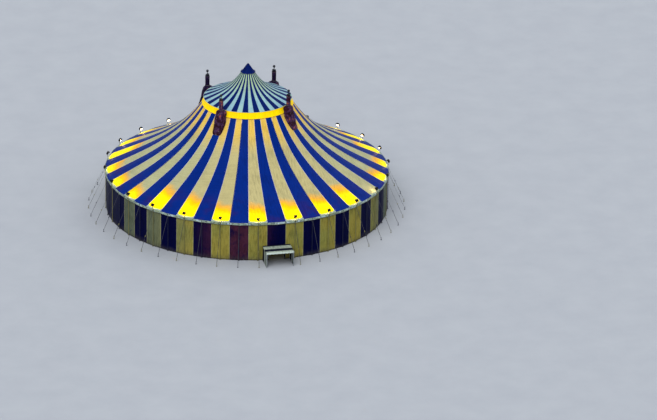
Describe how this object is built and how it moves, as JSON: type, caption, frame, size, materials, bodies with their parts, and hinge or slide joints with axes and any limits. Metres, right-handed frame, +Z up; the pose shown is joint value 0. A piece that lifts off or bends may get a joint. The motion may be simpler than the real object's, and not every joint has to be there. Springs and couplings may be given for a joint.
{
  "type": "circus big top tent, 1:2 scale model",
  "caption": "Round striped circus tent with lattice masts, a ring collar, a cupola, vertical side walls, guys on stakes, eave floodlights and an entrance porch; 1:2 scale model.",
  "frame": {"origin": "on the ground at the middle of the tent's footprint", "axes": "+Z up the tent's axis; -Y towards the entrance; +X to the right of someone who faces +Y"},
  "size_m": [25, 25, 11.9634],
  "materials": {
    "roof_cloth": "coated, blue and yellow gores by turns",
    "collar_cloth": "coated",
    "cupola_cloth": "coated, pale and dark gores by turns",
    "cap_cloth": "coated",
    "hood_cloth": "coated",
    "trim_cloth": "coated",
    "wall_cloth": "coated, dark and olive panels by turns",
    "porch_cloth": "coated",
    "guy_webbing": "woven",
    "mast_steel": "satin paint",
    "galvanised_steel": "galvanised"
  },
  "bodies": {
    "root": {"canopy_section_back": "roof_cloth", "canopy_section_back_left": "roof_cloth", "canopy_section_back_right": "roof_cloth", "canopy_section_front": "roof_cloth", "canopy_section_front_left": "roof_cloth", "canopy_section_front_right": "roof_cloth", "canopy_section_left": "roof_cloth", "canopy_section_right": "roof_cloth", "cupola_canopy": "cupola_cloth", "cupola_cap": "cap_cloth", "doorway_panel": "wall_cloth", "eave_belt_over_door": "guy_webbing", "eave_cable_over_door": "galvanised_steel", "eave_trim_back": "trim_cloth", "eave_trim_front": "trim_cloth", "eave_trim_left": "trim_cloth", "eave_trim_right": "trim_cloth", "guy_set_back": "guy_webbing", "guy_set_front_left": "guy_webbing", "guy_set_front_right": "guy_webbing", "guy_set_left": "guy_webbing", "guy_set_right": "guy_webbing", "mast_back_left": "mast_steel", "mast_back_right": "mast_steel", "mast_front_left": "mast_steel", "mast_front_right": "mast_steel", "mast_hood_back_left": "hood_cloth", "mast_hood_back_right": "hood_cloth", "mast_hood_front_left": "hood_cloth", "mast_hood_front_right": "hood_cloth", "porch_curtain_left": "wall_cloth", "porch_curtain_right": "wall_cloth", "porch_frame": "galvanised_steel", "porch_roof": "porch_cloth", "ring_collar": "collar_cloth", "ring_truss": "galvanised_steel", "side_poles_back": "galvanised_steel", "side_poles_front_left": "galvanised_steel", "side_poles_front_right": "galvanised_steel", "side_poles_left": "galvanised_steel", "side_poles_right": "galvanised_steel", "wall_panels_left_of_door": "wall_cloth", "wall_panels_right_of_door": "wall_cloth", "wall_section_back": "wall_cloth", "wall_section_back_left": "wall_cloth", "wall_section_back_right": "wall_cloth", "wall_section_front_left": "wall_cloth", "wall_section_front_right": "wall_cloth", "wall_section_left": "wall_cloth", "wall_section_right": "wall_cloth"}
  },
  "joints": []
}
